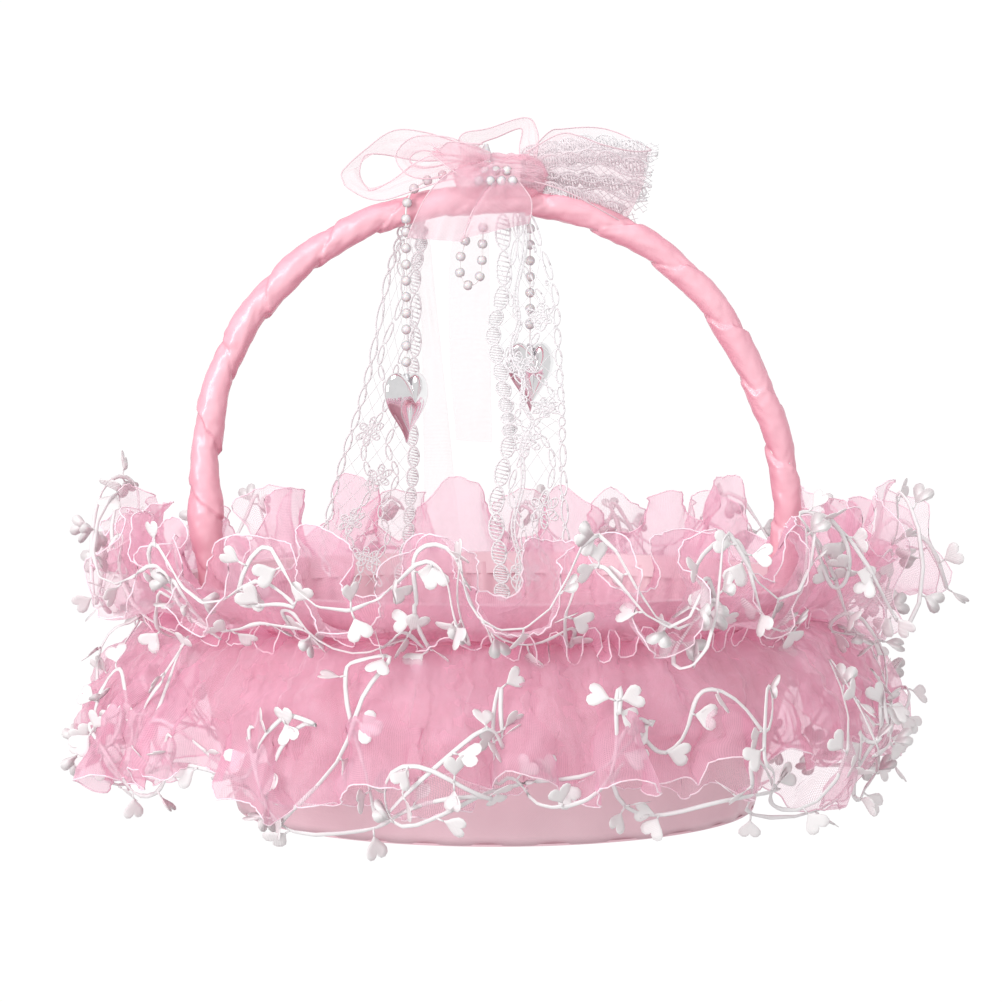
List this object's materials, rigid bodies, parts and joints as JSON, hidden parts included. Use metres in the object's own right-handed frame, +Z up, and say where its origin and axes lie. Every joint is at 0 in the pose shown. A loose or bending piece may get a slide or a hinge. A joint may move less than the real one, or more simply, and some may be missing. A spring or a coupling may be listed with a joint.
{
  "type": "flower girl basket",
  "caption": "Oval satin flower girl basket with an arched wrapped handle, gathered organza ruffles with heart-leaf vines, a lace bow and pearl strings.",
  "frame": {"origin": "middle of the base's underside, where the basket stands", "axes": "+X along the handle's span to the right, -Y to the front, +Z up"},
  "size_m": [0.3441, 0.3044, 0.2726],
  "materials": {
    "satin_pink": "satin",
    "lining_satin": "satin",
    "organza_pink": "sheer",
    "lace_white": "matte",
    "vine_satin": "satin",
    "pearl": "pearlescent",
    "heart_mirror": "polished",
    "board": "matte",
    "wire_steel": "brushed",
    "core_plastic": "matte",
    "thread": "matte"
  },
  "bodies": {
    "basket": {"base_cover": "satin_pink", "base_board": "board", "outer_cover": "satin_pink", "wall_shell": "board", "lining": "lining_satin", "floor_pad": "lining_satin", "rim_hoop": "wire_steel", "rim_binding": "satin_pink", "ruffle_tape": "organza_pink", "handle_core": "core_plastic", "handle_wrap": "satin_pink", "handle_staples": "wire_steel", "ruffle_upper": "organza_pink", "ruffle_lower": "organza_pink", "vine_cord_upper": "vine_satin", "vine_cord_lower": "vine_satin", "heart_leaves_upper": "vine_satin", "heart_leaves_lower": "vine_satin", "bow_knot": "organza_pink", "bow_tie_wire": "wire_steel", "bow_loop_left": "organza_pink", "bow_loop_left_inner": "organza_pink", "bow_loop_centre": "organza_pink", "bow_loop_right": "organza_pink", "lace_loop_right": "lace_white", "bow_tail_left": "organza_pink", "left_drape_thread": "thread", "left_drape_pearls": "pearl", "right_drape_thread": "thread", "right_drape_pearls": "pearl", "spray_pearls": "pearl", "spray_bud": "pearl"},
    "left_side": {"left_top_pearl": "pearl"},
    "left_swing": {"left_thread": "thread", "left_pearls": "pearl"},
    "left_pendant": {"left_heart_cap": "wire_steel", "left_heart": "heart_mirror"},
    "right_side": {"right_top_pearl": "pearl"},
    "right_swing": {"right_thread": "thread", "right_pearls": "pearl"},
    "right_pendant": {"right_heart_cap": "wire_steel", "right_heart": "heart_mirror"},
    "centre_loop": {"loop_thread": "thread", "loop_pearls": "pearl"},
    "left_streamers": {"lace_streamer_left": "lace_white", "organza_tail_left": "organza_pink"},
    "right_streamer": {"lace_streamer_right": "lace_white"},
    "centre_tail": {"organza_tail_centre": "organza_pink"}
  },
  "joints": [
    {"name": "left_string_side_swing", "type": "hinge", "parent": "basket", "child": "left_side", "pos_m": [-0.0354, -0.0088, 0.229], "axis": [0, 1, 0], "range_deg": [-10, 10]},
    {"name": "left_string_swing", "type": "hinge", "parent": "left_side", "child": "left_swing", "pos_m": [-0.0354, -0.0088, 0.229], "axis": [1, 0, 0], "range_deg": [-25, 6]},
    {"name": "left_heart_twist", "type": "hinge", "parent": "left_swing", "child": "left_pendant", "pos_m": [-0.0354, -0.0088, 0.1702], "axis": [0, 0, 1], "continuous": true},
    {"name": "right_string_side_swing", "type": "hinge", "parent": "basket", "child": "right_side", "pos_m": [0.0138, 0.0092, 0.231], "axis": [0, 1, 0], "range_deg": [-8, 8]},
    {"name": "right_string_swing", "type": "hinge", "parent": "right_side", "child": "right_swing", "pos_m": [0.0138, 0.0092, 0.231], "axis": [1, 0, 0], "range_deg": [-5, 4]},
    {"name": "right_heart_twist", "type": "hinge", "parent": "right_swing", "child": "right_pendant", "pos_m": [0.0138, 0.0092, 0.182], "axis": [0, 0, 1], "continuous": true},
    {"name": "centre_loop_swing", "type": "hinge", "parent": "basket", "child": "centre_loop", "pos_m": [-0.0073, -0.0102, 0.2314], "axis": [1, 0, 0], "range_deg": [-20, 15]},
    {"name": "left_streamers_swing", "type": "hinge", "parent": "basket", "child": "left_streamers", "pos_m": [-0.035, 0.0084, 0.232], "axis": [1, 0, 0], "range_deg": [-4, 8]},
    {"name": "right_streamer_swing", "type": "hinge", "parent": "basket", "child": "right_streamer", "pos_m": [0.006, -0.0104, 0.231], "axis": [1, 0, 0], "range_deg": [-10, 3]},
    {"name": "centre_tail_swing", "type": "hinge", "parent": "basket", "child": "centre_tail", "pos_m": [-0.0092, 0.0088, 0.234], "axis": [1, 0, 0], "range_deg": [-3, 8]}
  ]
}
